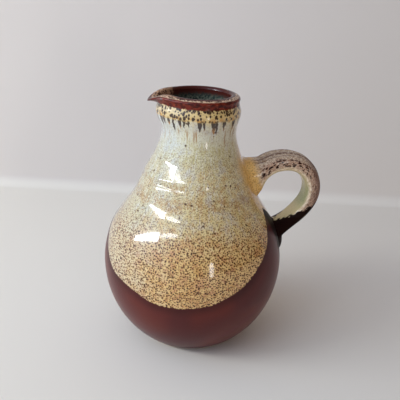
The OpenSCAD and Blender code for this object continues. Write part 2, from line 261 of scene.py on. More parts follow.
def screen(red, green, blue):
    # A colour as it shows on screen, 0 to 255, as scene light by the sRGB curve
    share = np.array([red, green, blue]) / 255
    light = np.where(share <= 0.04045, share / 12.92, ((share + 0.055) / 1.055) ** 2.4)
    return (*light.tolist(), 1.0)


class Wire:
    # One output of a shader node; Python's signs on it add Math nodes
    def __init__(self, paint, socket):
        self.paint = paint
        self.socket = socket

    def maths(self, operation, *values):
        return self.paint.node("ShaderNodeMath", {"operation": operation}, dict(enumerate(values)))

    def __add__(self, other):
        return self.maths("ADD", self, other)

    def __sub__(self, other):
        return self.maths("SUBTRACT", self, other)

    def __rsub__(self, other):
        return self.maths("SUBTRACT", other, self)

    def __mul__(self, other):
        return self.maths("MULTIPLY", self, other)

    def __truediv__(self, other):
        return self.maths("DIVIDE", self, other)

    def __pow__(self, other):
        return self.maths("POWER", self, other)

    def __abs__(self):
        return self.maths("ABSOLUTE", self)

    def most(self, other):
        return self.maths("MAXIMUM", self, other)

    __radd__ = __add__
    __rmul__ = __mul__


class Paint:
    # A material or a world under construction, with its surface's place in millimetres ready to use
    def __init__(self, name, world=False):
        self.material = bpy.data.worlds.new(name) if world else bpy.data.materials.new(name)
        self.material.use_nodes = True
        self.tree = self.material.node_tree
        self.tree.nodes.clear()
        place = self.node("ShaderNodeTexCoord", output="Object")
        self.place = self.scaled(place, 1 / metre)
        self.x, self.y, self.z = self.node("ShaderNodeSeparateXYZ", {}, {0: self.place}, ("X", "Y", "Z"))
        self.r = (self.x * self.x + self.y * self.y) ** 0.5
        self.cos = self.x / self.r
        self.sin = self.y / self.r

    def node(self, kind, settings=None, sockets=None, output=0):
        # Any node: its settings first, then the values or wires of its sockets; gives one wire or several
        made = self.tree.nodes.new(kind)
        for key, value in (settings or {}).items():
            if key == "stops":
                ramp = made.color_ramp.elements
                while len(ramp) < len(value):
                    ramp.new(0.5)
                for stop, (position, colour) in zip(ramp, value):
                    stop.position = position
                    stop.color = colour
            else:
                setattr(made, key, value)
        for key, value in (sockets or {}).items():
            if isinstance(value, Wire):
                self.tree.links.new(value.socket, made.inputs[key])
            else:
                made.inputs[key].default_value = value
        if isinstance(output, tuple):
            return tuple(Wire(self, made.outputs[key]) for key in output)
        return Wire(self, made.outputs[output]) if len(made.outputs) else made

    def scaled(self, vector, factor):
        # A vector times a number, or times a number for each axis
        factors = factor if isinstance(factor, tuple) else (factor,) * 3
        return self.node("ShaderNodeVectorMath", {"operation": "MULTIPLY"}, {0: vector, 1: factors})

    def ramp(self, value, low, high):
        # Smooth mask: 0 at low, 1 at high
        return self.node("ShaderNodeMapRange", {"interpolation_type": "SMOOTHSTEP"},
                         {"Value": value, "From Min": low, "From Max": high})

    def mix(self, mask, under, over):
        # One colour over another where the mask is 1
        return self.node("ShaderNodeMix", {"data_type": "RGBA"}, {0: mask, 6: under, 7: over}, 2)

    def noise(self, vector, size, detail=2.0, rough=0.5):
        # Soft noise from 0 to 1 with blots of about a size in millimetres
        return self.node("ShaderNodeTexNoise", {},
                         {"Vector": vector, "Scale": 1 / size, "Detail": detail, "Roughness": rough})

    def stretched(self, long, radius=45.0):
        # Round the axis by angle, so that marks run down the meridians, and drawn out long times upwards
        return self.node("ShaderNodeCombineXYZ", {}, {0: self.cos * radius, 1: self.sin * radius,
                                                      2: self.z / long})

    def arc(self, radius):
        # Millimetres round the axis at a radius, with the seam under the handle
        turn = self.node("ShaderNodeMath", {"operation": "ARCTAN2"}, {0: self.y * -1, 1: self.x * -1})
        return turn * radius

    def unrolled(self, radius, up):
        # The skin laid out flat: millimetres round the axis and the distance up
        return self.node("ShaderNodeCombineXYZ", {}, {0: self.arc(radius), 1: up})

    def dots(self, vector, spacing, small, large, soft=0.25, sides="3D"):
        # Dots of random size, one to a cell, with radii from small to large
        distance, chance = self.node("ShaderNodeTexVoronoi", {"voronoi_dimensions": sides},
                                     {"Vector": vector, "Scale": 1 / spacing}, ("Distance", "Color"))
        share = self.node("ShaderNodeSeparateColor", {}, {0: chance})
        radius = (small + share * (large - small)) / spacing
        return self.ramp(distance, radius + soft / spacing, radius)

    def streaks(self, long, size, edge, detail=2.0):
        # Mask of marks drawn out long times upwards, or round the jug where long is below 1
        return self.ramp(self.noise(self.stretched(long), size, detail), *edge)

    def fray(self, vector, size, depth, detail=2.0, rough=0.5):
        # Noise about zero that varies a border or a size: (noise - 0.5) * depth
        return (self.noise(vector, size, detail, rough) - 0.5) * depth

    def surface(self, colour, roughness, height, coat=0.0, specular=clearCoat["specular"]):
        # Principled surface with bump; the height is in millimetres, and the coat is the glaze's gloss
        bumped = self.node("ShaderNodeBump", {}, {"Strength": 1.0, "Distance": metre, "Height": height})
        return self.node("ShaderNodeBsdfPrincipled", {},
                         {"Base Color": colour, "Roughness": roughness, "Normal": bumped,
                          "Specular IOR Level": specular, "Coat Weight": coat, "Coat IOR": clearCoat["ior"],
                          "Coat Roughness": clearCoat["rough"]})

    def finish(self, *finish):
        # The surface goes to the output, and the material is done
        self.node("ShaderNodeOutputMaterial", {}, {"Surface": self.surface(*finish)})
        return self.material


# Finishes

glazeColours = dict(
    speckle=screen(62, 22, 2), halo=screen(200, 132, 68), fleck=screen(132, 92, 50),
    ochre=screen(196, 146, 72), olive=screen(184, 170, 98), lilac=screen(190, 184, 180),
    pink=screen(196, 138, 112), milk=screen(222, 226, 220), paintedSheen=screen(194, 194, 172),
    bluePaintedSheen=screen(184, 194, 198), rolled=screen(160, 112, 60),
    beadBase=screen(222, 188, 118), drip=screen(42, 17, 10), dripEnd=screen(158, 108, 52),
    amberSpot=screen(196, 140, 62), amber=screen(232, 184, 104),
    brown=screen(84, 36, 34), brownWarm=screen(98, 41, 34), brownEdge=screen(52, 20, 20),
    black=screen(26, 9, 5),
    band=screen(112, 40, 26), bandDark=screen(66, 22, 16), bandLight=screen(160, 76, 50),
    lip=screen(204, 170, 138), lipDot=screen(56, 30, 24),
    inside=screen(44, 52, 48), insideMottle=screen(106, 110, 94), maroon=screen(72, 28, 22),
    throat=screen(172, 132, 100), throatDot=screen(58, 34, 26),
)

# In the dictionaries of marks below a pair says where a mark starts and where it is full, in millimetres on
# the jug or in values of the noise, share or cosine that it follows. Dots and spots give their spacing,
# smallest and largest radius and soft edge. Streaks give their length, size, edge and detail. A fray is the
# depth of the noise that varies a border or a size, or that noise's size and depth, in places with its
# detail and roughness too. A single number such as lilac or drip says how strongly the mark covers

grainy = (3.0, 0.6)     # detail and roughness of the noise in fine grain
noiseSizes = dict(streakLong=5.0, streak=1.5, patch=11.0, spread=(4.5, 4.0, 0.65), fine=1.1)


def ellipse(paint, z, halfH, halfW):
    # 0 at a height on the jug's middle plane, 1 on the ellipse round it: sqrt(((z - z0) / a)^2 + (y / b)^2)
    return (((paint.z - z) / halfH) ** 2 + (paint.y / halfW) ** 2) ** 0.5


def sharedNoises(paint):
    # Streaks, patches, spread and fine: several marks follow each, so that they gather in the same places
    n = noiseSizes
    return (paint.noise(paint.stretched(n["streakLong"]), n["streak"], *grainy),
            paint.noise(paint.place, n["patch"], *grainy),
            paint.noise(paint.place, *n["spread"]),
            paint.noise(paint.place, n["fine"], *grainy))


dipEdge = dict(teethFray=(1.5, 2.4, *grainy), waveFray=(14.0, 1.6), edge=(-0.3, 0.3))


def creamBorder(paint):
    # Distance above the nearer dip plane, as in dipHeight, and the cream's mask with its toothed edge
    tilt = np.radians(dips["tilt"])
    towards = np.radians(dips["towards"])
    across = abs(paint.cos * float(np.cos(towards)) + paint.sin * float(np.sin(towards)))
    sag = paint.ramp(paint.cos, dips["sagFrom"], -1) * dips["sag"]
    dip = (across * paint.r * float(np.sin(tilt)) + (paint.z - pot["bellyZ"]) * float(np.cos(tilt))
           - dips["offset"] + sag)
    teeth = paint.fray(paint.place, *dipEdge["teethFray"])
    waves = paint.fray(paint.place, *dipEdge["waveFray"])
    return dip, paint.ramp(dip + teeth + waves, *dipEdge["edge"])


# The cream's colour from the foot up: height and colour
creamStops = [
    (20, screen(222, 184, 130)), (60, screen(226, 190, 128)), (92, screen(226, 192, 126)),
    (112, screen(218, 198, 142)), (140, screen(218, 204, 158)), (160, screen(216, 208, 168)),
    (174, screen(214, 210, 184)), (182, screen(214, 206, 180)), (186, screen(224, 204, 150)),
    (195, screen(218, 196, 144)),
]
creamMarks = dict(
    stopsFrom=20, stopsOver=180, high=(92, 122), low=(122, 98),
    fleckEdge=(0.5, 0.62), fleckGather=1.1, fleck=0.6, fleckFade=0.2,
    olives=(146, 158), flecksEnd=(173, 164),
    lilacEdge=(0.48, 0.36), lilac=0.45,
    pinkEdge=(0.55, 0.65), pinkGather=1.4, pink=0.5,
    paintedSheenSide=(-0.25, -1.0), paintedSheenPatchy=0.9, paintedSheen=0.6, bluePaintedSheen=(150, 172),
    oliveEdge=(0.5, 0.7), milkEdge=(0.5, 0.3), streak=0.35,
    ridges=((127, (7, 2), 0.16), (138, (4, 1), 0.1)),   # height, reach to either side and strength
    rolledEdge=(0.9, 1.0), rolledSpread=0.6, rolled=0.5,
    grain=(0.9, -0.1, 0.36, 0.2), grains=0.42, lowGrains=0.2,
    speckleArc=58.0, spacing=1.34, speckleR=(0.04, 0.37), speckleSoft=0.24, lowR=0.12,
    crowdFray=(7.0, 0.275), thin=(158, 170), thinning=0.55, speckle=0.62, lowSpeckle=0.36,
    haloR=(0.3, 0.7), haloSoft=0.4, halo=0.06, lowHalo=0.22,
    rare=(4.2, -0.9, 0.75, 0.35), rares=0.85,
)


def creamColour(paint, noises):
    # A colour by height, then soft patches, streaks and speckles that thin out upwards
    c = glazeColours
    m = creamMarks
    z = paint.z
    streaks, patches, spread, fine = noises
    high = paint.ramp(z, *m["high"])
    low = paint.ramp(z, *m["low"])
    stops = [((height - m["stopsFrom"]) / m["stopsOver"], colour) for height, colour in creamStops]
    colour = paint.node("ShaderNodeValToRGB", {"stops": stops}, {0: (z - m["stopsFrom"]) / m["stopsOver"]})

    # Patches: warm flecks, lilac above, pink below, and a painted sheen, paler and bluer, on the spout's
    # side that faces the lamps
    warm = paint.mix(paint.ramp(z, *m["olives"]), c["ochre"], c["olive"])
    flecked = paint.ramp(fine + (patches + spread - 1) * m["fleckGather"], *m["fleckEdge"])
    flecked = flecked * (m["fleck"] - high * m["fleckFade"])
    colour = paint.mix(flecked * paint.ramp(z, *m["flecksEnd"]), colour, warm)
    colour = paint.mix(paint.ramp(patches, *m["lilacEdge"]) * m["lilac"] * high, colour, c["lilac"])
    pinked = paint.ramp(fine + (spread - 0.5) * m["pinkGather"], *m["pinkEdge"])
    colour = paint.mix(pinked * m["pink"] * (1 - high), colour, c["pink"])
    # Painted sheen: a pale veil on the spout's side, bluer towards the neck, in place of the lamps'
    # reflection
    paintedSheen = paint.ramp(paint.cos + (patches - 0.5) * m["paintedSheenPatchy"], *m["paintedSheenSide"]) * m["paintedSheen"]
    colour = paint.mix(paintedSheen, colour, paint.mix(paint.ramp(z, *m["bluePaintedSheen"]), c["paintedSheen"], c["bluePaintedSheen"]))

    # Streaks down the meridians, and brown where the glaze breaks over the ridges
    colour = paint.mix(paint.ramp(streaks, *m["oliveEdge"]) * m["streak"] * high, colour, c["olive"])
    colour = paint.mix(paint.ramp(streaks, *m["milkEdge"]) * m["streak"] * high, colour, c["milk"])
    broken = fine + spread * m["rolledSpread"]
    for ridgeZ, reach, level in m["ridges"]:
        broken = broken + paint.ramp(abs(z - ridgeZ), *reach) * level
    colour = paint.mix(paint.ramp(broken, *m["rolledEdge"]) * high * m["rolled"], colour, c["rolled"])

    # Specks: fine grains, dark speckles with a warm halo, crowded in places, and rare large ones
    grains = paint.dots(paint.place, *m["grain"])
    colour = paint.mix(grains * (m["grains"] + m["lowGrains"] * low), colour, c["fleck"])
    thin = paint.ramp(z, *m["thin"]) * m["thinning"]
    skin = paint.unrolled(m["speckleArc"], z)
    larger = low * m["lowR"] + paint.fray(paint.place, *m["crowdFray"])
    small, large = m["haloR"]
    halo = paint.dots(skin, m["spacing"], small, large + larger, m["haloSoft"], "2D")
    colour = paint.mix(halo * (m["halo"] + m["lowHalo"] * low) * (1 - thin), colour, c["halo"])
    small, large = m["speckleR"]
    speckles = paint.dots(skin, m["spacing"], small, large + larger, m["speckleSoft"], "2D")
    colour = paint.mix(speckles * (m["speckle"] + m["lowSpeckle"] * low - thin), colour, c["speckle"])
    colour = paint.mix(paint.dots(paint.place, *m["rare"]) * m["rares"], colour, c["speckle"])
    return colour, speckles


collarMarks = dict(
    dripArc=28.0, dripLean=0.1, dripFray=(3.0, 2), dripsPer=0.23,
    dripTop=187, dripLong=5, dripLonger=7, dripHalf=0.45, dripWider=1.25, dripPoint=3,
    dripEdge=(1.15, 0.8), dripStart=(188.0, 186.0), dripEnd=(0.95, 1.35), dripKind=0.6, drip=0.92,
    run=(8.0, 2.6, (0.57, 0.66)), runTop=(181, 176), runFoot=(168, 173), runFray=(7.0, 8), runs=0.75,
    beadEdge=(185.2, 186.8), beadFray=2, bead=0.6, lowBead=(190.5, 187), lowEdge=(0.46, 0.58), lowBeads=0.75,
    flat=(1, 1, 0.75), spot=(2.1, 0.32, 1.15, 0.35), spots=0.95,
    closeSpot=(1.8, 0.45, 1.0, 0.3), closeRow=(191, 193), closeSpots=0.9,
)


def collarColour(paint, colour, noises):
    # Under the collar broad dark drips and thin ochre runs, above them a bead crowded with spots
    c = glazeColours
    m = collarMarks
    z = paint.z
    place = paint.place
    _, _, spread, _ = noises

    # Drips: cells round the neck, each with its own width, length and tone, narrowing as t^3 downwards
    fraySize, fray = m["dripFray"]
    across = paint.arc(m["dripArc"]) + z * m["dripLean"] + paint.noise(place, fraySize) * fray
    offset, chance = paint.node("ShaderNodeTexVoronoi", {"voronoi_dimensions": "1D"},
                                {"W": across, "Scale": m["dripsPer"]}, ("Distance", "Color"))
    broad, long, kind = paint.node("ShaderNodeSeparateColor", {}, {0: chance}, ("Red", "Green", "Blue"))
    fallen = (m["dripTop"] - z) / (m["dripLong"] + long * m["dripLonger"])
    aside = offset / m["dripsPer"] / (m["dripHalf"] + broad * m["dripWider"])
    drip = paint.ramp(aside + fallen.most(0) ** m["dripPoint"], *m["dripEdge"])
    drip = drip * paint.ramp(z, *m["dripStart"])
    tone = paint.mix(paint.ramp(fallen + kind * m["dripKind"], *m["dripEnd"]), c["drip"], c["dripEnd"])
    colour = paint.mix(drip * m["drip"], colour, tone)

    # Runs: thin streaks that end unevenly
    fraySize, fray = m["runFray"]
    runs = paint.streaks(*m["run"]) * paint.ramp(z, *m["runTop"])
    runs = runs * paint.ramp(z + paint.noise(place, fraySize) * fray, *m["runFoot"])
    colour = paint.mix(runs * m["runs"], colour, c["dripEnd"])

    # Bead: pale yellow, amber along its foot, large spots all over and a close row under the red band
    bead = paint.ramp(z + (spread - 0.5) * m["beadFray"], *m["beadEdge"])
    lowBead = paint.ramp(z, *m["lowBead"]) * bead * paint.ramp(spread, *m["lowEdge"])
    colour = paint.mix(bead * m["bead"], colour, c["beadBase"])
    colour = paint.mix(lowBead * m["lowBeads"], colour, c["amberSpot"])
    spots = paint.dots(paint.scaled(place, m["flat"]), *m["spot"])
    colour = paint.mix(bead * spots * m["spots"], colour, c["drip"])
    close = paint.dots(place, *m["closeSpot"]) * paint.ramp(z, *m["closeRow"])
    return paint.mix(close * m["closeSpots"], colour, c["drip"])


rootMarks = dict(
    middleZ=130, halfH=27, halfW=19, fray=0.8, fineFray=0.5, edge=(1.6, 0.95), side=(20, 30), foot=(94, 104),
    pool=0.88, grainEdge=(0.5, 0.62), grain=0.7,
)


def rootColour(paint, colour, noises):
    # Amber where the glaze pools round the handle's upper joint
    c = glazeColours
    m = rootMarks
    _, _, spread, fine = noises
    root = (ellipse(paint, m["middleZ"], m["halfH"], m["halfW"]) + (spread - 0.5) * m["fray"]
            + (fine - 0.5) * m["fineFray"])
    pooled = paint.ramp(root, *m["edge"]) * paint.ramp(paint.x, *m["side"]) * paint.ramp(paint.z, *m["foot"])
    amber = paint.mix(paint.ramp(fine, *m["grainEdge"]) * m["grain"], c["amber"], c["rolled"])
    return paint.mix(pooled * m["pool"], colour, amber)


brownMarks = dict(
    slow=(38.0, 1.0), warmEdge=(0.4, 0.65), border=(-9, -0.5), borderDark=0.6,
    tailZ=94, tailHalfH=34, tailHalfW=27, tailFray=(6.0, 0.3), tailEdge=(1.05, 0.8), tailSide=(20, 40),
)


def brownColour(paint, dip):
    # Even and warm, darker along the cream's border, and black round the tail of the handle: partly the dark
    # glaze there and partly painted shade under the handle
    c = glazeColours
    m = brownMarks
    slow = paint.noise(paint.place, *m["slow"])
    brown = paint.mix(paint.ramp(slow, *m["warmEdge"]), c["brown"], c["brownWarm"])
    brown = paint.mix(paint.ramp(dip, *m["border"]) * m["borderDark"], brown, c["brownEdge"])
    # Painted shade with the dark glaze: black on the belly round the handle's tail
    tail = ellipse(paint, m["tailZ"], m["tailHalfH"], m["tailHalfW"])
    tail = tail + paint.fray(paint.place, *m["tailFray"])
    tail = paint.ramp(tail, *m["tailEdge"]) * paint.ramp(paint.x, *m["tailSide"])
    return paint.mix(tail, brown, c["black"]), tail


bandMarks = dict(
    above=0.2, frayLong=4.0, fray=(2.0, 2), edge=(-0.35, 0.35),
    dark=(0.4, 5.0, (0.4, 0.65), 3.0), light=(0.3, 3.0, (0.58, 0.7), 3.0), lights=0.6,
)


def redBand(paint):
    # The red band round the rim: its mask, and its colour streaked round the pot
    c = glazeColours
    m = bandMarks
    fray = paint.fray(paint.stretched(m["frayLong"]), *m["fray"])
    band = paint.ramp(paint.z - (collar["bandZ"] + m["above"] + fray), *m["edge"])
    red = paint.mix(paint.streaks(*m["dark"]), c["band"], c["bandDark"])
    return band, paint.mix(paint.streaks(*m["light"]) * m["lights"], red, c["bandLight"])


glazeSurface = dict(
    brownRough=0.3, creamSmoother=0.12, tailRougher=0.25, coat=0.95, thinCoat=0.05,
    swell=16.0, swellH=0.25, streakH=0.03, speckleH=0.02, heights=0.6,
)


def outsideGlaze(paint):
    # Colour, roughness, height and coat of the glaze anywhere on the outside of the pot
    s = glazeSurface
    noises = sharedNoises(paint)
    dip, cream = creamBorder(paint)
    colour, speckles = creamColour(paint, noises)
    colour = rootColour(paint, collarColour(paint, colour, noises), noises)
    brown, tail = brownColour(paint, dip)
    band, red = redBand(paint)
    colour = paint.mix(band, paint.mix(cream, brown, colour), red)
    rough = s["brownRough"] - cream * s["creamSmoother"] + (1 - cream) * tail * s["tailRougher"]
    coat = cream * (1 - band) * s["coat"] + s["thinCoat"]
    height = (paint.noise(paint.place, s["swell"]) * s["swellH"] + noises[0] * s["streakH"]
              - speckles * s["speckleH"]) * s["heights"]
    return colour, rough, height, coat


def outsideMaterial(name):
    paint = Paint(name)
    return paint.finish(*outsideGlaze(paint))


rimMarks = dict(
    fray=(2.4, 0.16), arc=28.0, lipWidth=6.5, dot=(1.6, 0.25, 0.85, 0.25), dots=(0.15, 0.2),
    pale=(0.1, 0.16), beakEnds=(-37, -34), tip=(-36.5, -39), tipDark=0.8,
    inner=(0.35, 0.42), handleSide=(5, 25), innerShift=0.15,
)


def rimMaterial():
    # The band outside, a pale line with dark dots where the glaze thins over the edge, and maroon inside
    paint = Paint("rimGlaze")
    c = glazeColours
    m = rimMarks
    colour, rough, height, coat = outsideGlaze(paint)
    inward = paint.node("ShaderNodeAttribute", {"attribute_name": "inward"}, {}, "Fac")
    inward = inward + paint.fray(paint.place, *m["fray"])
    dots = paint.dots(paint.unrolled(m["arc"], inward * m["lipWidth"]), *m["dot"], "2D")
    pale = paint.mix(dots * paint.ramp(inward, *m["dots"]), c["lip"], c["lipDot"])
    colour = paint.mix(paint.ramp(inward, *m["pale"]) * paint.ramp(paint.x, *m["beakEnds"]), colour, pale)
    colour = paint.mix(paint.ramp(paint.x, *m["tip"]) * m["tipDark"], colour, c["bandDark"])
    inner = paint.ramp(inward - paint.ramp(paint.x, *m["handleSide"]) * m["innerShift"], *m["inner"])
    colour = paint.mix(inner, colour, insideGlaze(paint))
    return paint.finish(colour, rough, height, coat)


insideMarks = dict(
    mottle=1.6, mottleEdge=(0.42, 0.62), maroon=(194.5, 198.5), maroonFray=2,
    throat=(-16, -20), throatFray=(4.0, 5), throatZ=(188, 193), dot=(1.5, 0.2, 0.75, 0.3),
    rough=0.2, bump=2.0, bumpH=0.05,
)


def insideGlaze(paint):
    # Dark green-grey with brown mottling, maroon towards the lip, and speckled tan down the spout
    c = glazeColours
    m = insideMarks
    mottle = paint.ramp(paint.noise(paint.place, m["mottle"], *grainy), *m["mottleEdge"])
    colour = paint.mix(mottle, c["inside"], c["insideMottle"])
    colour = paint.mix(paint.ramp(paint.z + mottle * m["maroonFray"], *m["maroon"]), colour, c["maroon"])
    fraySize, fray = m["throatFray"]
    throat = paint.ramp(paint.x + paint.noise(paint.place, fraySize) * fray, *m["throat"])
    tan = paint.mix(paint.dots(paint.place, *m["dot"]), c["throat"], c["throatDot"])
    return paint.mix(throat * paint.ramp(paint.z, *m["throatZ"]), colour, tan)


def linerMaterial():
    paint = Paint("linerGlaze")
    bumps = paint.noise(paint.place, insideMarks["bump"], *grainy) * insideMarks["bumpH"]
    return paint.finish(insideGlaze(paint), insideMarks["rough"], bumps)


strapColours = dict(
    pale=screen(250, 230, 198), paleStreak=screen(200, 166, 128), innerWarm=screen(206, 190, 138),
    innerGreen=screen(140, 148, 104), innerGrain=screen(196, 182, 132), grain=screen(112, 78, 58),
    zone=screen(146, 96, 76), groove=screen(88, 58, 46), side=screen(92, 56, 52),
)
# Marks lie along the strap from the upper joint's crease and around it from the middle of its inner face
strapMarks = dict(
    stretch=1.7, streak=1.3, slow=6.0, fine=0.9, paleEdge=(0.35, 0.7),
    bend=(44, 66), green=(108, 118), innerGrainEdge=(0.5, 0.6), innerGrain=0.5,
    innerEdge=(14, 8), innerFray=6, inner=0.85,
    grainEdge=(0.46, 0.58), grainFrom=(13, 16), grain=0.6,
    zoneAround=18.0, zoneFray=5, zoneEdge=(5.0, 2.4), zoneFrom=(8, 14), zone=0.5,
    spot=(1.5, 0.15, 0.85, 0.3), spotFade=0.5,
    grooves=(26.0, 30.5, 34.8), grooveEdge=(1.3, 0.3), grooveGaps=(0.3, 0.5), groove=0.75,
    sideFrom=20, sideFull=27, sideFray=6, sideBend=4, side=0.3, sideLower=0.55,
    start=(5, 12), startFray=9, startFine=6,
    border=107.0, borderAt=12, borderSlope=0.9, borderFray=(1.9, 14, 2.0, 0.6), borderEdge=(0.5, -0.5),
    borderFrom=(40, 60), blackRougher=0.25, coatFrom=(-2, 6), dry=0.7, specular=0.06,
)


def strapColour(paint, along, around, strap, fine):
    # Pale cream, green and ochre inside, darker outwards, with spots in a zone and lines in the grooves
    c = strapColours
    m = strapMarks
    streaks = paint.noise(strap, m["streak"], *grainy)
    slow = paint.noise(strap, m["slow"])
    bend = paint.ramp(along, *m["bend"])
    pale = paint.mix(paint.ramp(streaks, *m["paleEdge"]), c["pale"], c["paleStreak"])
    inner = paint.mix(bend * paint.ramp(paint.z, *m["green"]), c["innerWarm"], c["innerGreen"])
    inner = paint.mix(paint.ramp(fine, *m["innerGrainEdge"]) * m["innerGrain"], inner, c["innerGrain"])
    inside = paint.ramp(around + (slow - 0.5) * m["innerFray"], *m["innerEdge"])
    pale = paint.mix(inside * m["inner"], pale, inner)
    grain = paint.ramp(fine, *m["grainEdge"]) * paint.ramp(around, *m["grainFrom"])
    pale = paint.mix(grain * m["grain"], pale, c["grain"])
    zone = paint.ramp(abs(around - m["zoneAround"] + (slow - 0.5) * m["zoneFray"]), *m["zoneEdge"])
    zone = zone * paint.ramp(along, *m["zoneFrom"])
    pale = paint.mix(zone * m["zone"], pale, c["zone"])
    spots = paint.dots(strap, *m["spot"])
    pale = paint.mix(spots * zone * (1 - bend * m["spotFade"]), pale, glazeColours["drip"])
    for groove in m["grooves"]:
        line = paint.ramp(abs(around - groove), *m["grooveEdge"]) * paint.ramp(streaks, *m["grooveGaps"])
        pale = paint.mix(line * m["groove"], pale, c["groove"])
    side = paint.ramp(around + slow * m["sideFray"], m["sideFrom"] - bend * m["sideBend"], m["sideFull"])
    pale = paint.mix(side * (m["side"] + bend * m["sideLower"]), pale, c["side"])
    return pale, slow


def handleMaterial(name):
    # The pot's colour at both roots, the strap's colour between them and black below a frayed border
    paint = Paint(name)
    m = strapMarks
    along = paint.node("ShaderNodeAttribute", {"attribute_name": "along"}, {}, "Fac")
    signedAround = paint.node("ShaderNodeAttribute", {"attribute_name": "around"}, {}, "Fac")
    around = abs(signedAround)
    strap = paint.node("ShaderNodeCombineXYZ", {}, {0: signedAround, 1: along / m["stretch"]})
    fine = paint.noise(paint.place, m["fine"], *grainy)
    colour, rough, height, coat = outsideGlaze(paint)
    pale, slow = strapColour(paint, along, around, strap, fine)
    onStrap = paint.ramp(along + (slow - 0.5) * m["startFray"] + (fine - 0.5) * m["startFine"], *m["start"])
    colour = paint.mix(onStrap, colour, pale)
    border = m["border"] + (around - m["borderAt"]) * m["borderSlope"] + paint.fray(strap, *m["borderFray"])
    black = paint.ramp(paint.z - border, *m["borderEdge"]) * paint.ramp(along, *m["borderFrom"])
    colour = paint.mix(black, colour, glazeColours["black"])
    coat = coat * (1 - black) * (1 - paint.ramp(along, *m["coatFrom"]) * m["dry"])
    return paint.finish(colour, rough + black * m["blackRougher"], height, coat, m["specular"])


# Body coats

grid = dict(columns=360, crowd=0.5)     # columns of points round the jug, and how far they crowd together


def jugAngles():
    # Columns round the jug, twice as close at the handle and the spout: t - crowd sin(2t) / 2
    t = np.arange(grid["columns"]) * 2 * np.pi / grid["columns"]
    return t - grid["crowd"] * np.sin(2 * t) / 2


tongue = dict(
    z=90.2, length=18.5, above=9.0, halfWidth=10.6,   # where the thumbed tail starts, how far it runs
    height=5.5, soften=1.0,
)


def tongueRise(y, z):
    # Height of the thumbed tail over the belly: h = H sqrt(1 - u^2 - v^2), then h^2 / (h + soften)
    length = np.where(z < tongue["z"], tongue["length"], tongue["above"])
    inside = 1 - ((z - tongue["z"]) / length) ** 2 - (y / tongue["halfWidth"]) ** 2
    h = tongue["height"] * np.sqrt(np.maximum(0, inside))
    return h * h / (h + tongue["soften"])


def coatRows(z, angle, distance):
    # The body's surface over a grid of heights and angles, with the tail's tongue under the handle
    r, height = coatedPoint(z, distance)
    rise = np.where(np.cos(angle) > 0, tongueRise(r * np.sin(angle), height), 0)
    return turned(r + rise * (distance > 0), height, angle)


def spans(*parts):
    # Heights from one place to the next, each part given as start, end and number of steps
    pieces = [start + (end - start) * np.linspace(0, 1, steps, endpoint=False)[:, None]
              for start, end, steps in parts]
    return np.concatenate([*pieces, np.atleast_2d(parts[-1][1] + np.zeros(grid["columns"]))])


# Rows of points: below the border, then over shoulder, ridges and neck, each with those against the clay
coatMesh = dict(ridgeFoot=107.0, lowRows=92, lowBack=24, highRows=(50, 112, 40), highBack=(14, 20, 10))


def makeBodyCoats():
    # Brown up to the border and cream above it, each a skin outside and another against the clay
    angle = jugAngles()
    border = dipBorder(angle)
    plain = np.zeros_like(angle)
    foot, neck = plain + pot["footH"], plain + pot["neckZ"]
    ridge, band = plain + coatMesh["ridgeFoot"], plain + collar["bandZ"]

    low = spans((foot, border, coatMesh["lowRows"]))
    lowBack = spans((border, foot, coatMesh["lowBack"]))
    brown = np.concatenate([coatRows(low, angle[None], pot["glaze"]), coatRows(lowBack, angle[None], 0)])
    addPiece("brownGlaze", brown, "brown_glaze", outsideMaterial("brownGlaze"))

    shoulderRows, ridgeRows, neckRows = coatMesh["highRows"]
    high = spans((border, ridge, shoulderRows), (ridge, neck, ridgeRows), (neck, band, neckRows))
    shoulderRows, ridgeRows, neckRows = coatMesh["highBack"]
    highBack = spans((band, neck, neckRows), (neck, ridge, ridgeRows), (ridge, border, shoulderRows))
    cream = np.concatenate([coatRows(high, angle[None], pot["glaze"]), coatRows(highBack, angle[None], 0)])
    addPiece("creamGlaze", cream, "cream_glaze", outsideMaterial("creamGlaze"))


# Rim and liner

rimMesh = dict(bandRows=14, lipCuts=3, boreRows=20, wallRows=96, wallTop=1.0, floorRows=12)


def rimOutline():
    # Band, lip and the start of the bore, as radius and height, with the lip's corners cut smooth
    z = np.linspace(collar["bandZ"], lipZ, rimMesh["bandRows"])
    band = np.stack([collarR(z), z], 1)
    shares = np.array(lipShares, dtype=float)
    lip = np.stack([collar["lipR"] + (collar["boreR"] - collar["lipR"]) * shares[:, 0],
                    lipZ + collar["lipFall"] * shares[:, 1]], 1)
    return np.concatenate([band[:-1], smoothed(lip, rimMesh["lipCuts"])])


def insideOutline():
    # From the lip's inner end down the bore, along the wall's inside, and over the floor to the axis
    start = rimOutline()[-1]
    n = rimMesh["boreRows"]
    bore = np.stack([np.full(n, collar["boreR"]), np.linspace(start[1], pot["neckZ"], n)], 1)
    z = np.linspace(pot["neckZ"], pot["footH"], rimMesh["wallRows"])
    wall = movedOut(np.stack([plainR(z), z], 1)[::-1], -pot["wall"])[::-1]
    wall = wall[(wall[:, 1] > pot["floorZ"]) & (wall[:, 1] < pot["neckZ"] - rimMesh["wallTop"])]
    n = rimMesh["floorRows"]
    floor = np.stack([np.linspace(wall[-1, 0] - pot["wall"], 0, n), np.full(n, pot["floorZ"])], 1)
    return np.concatenate([bore, wall, floor])


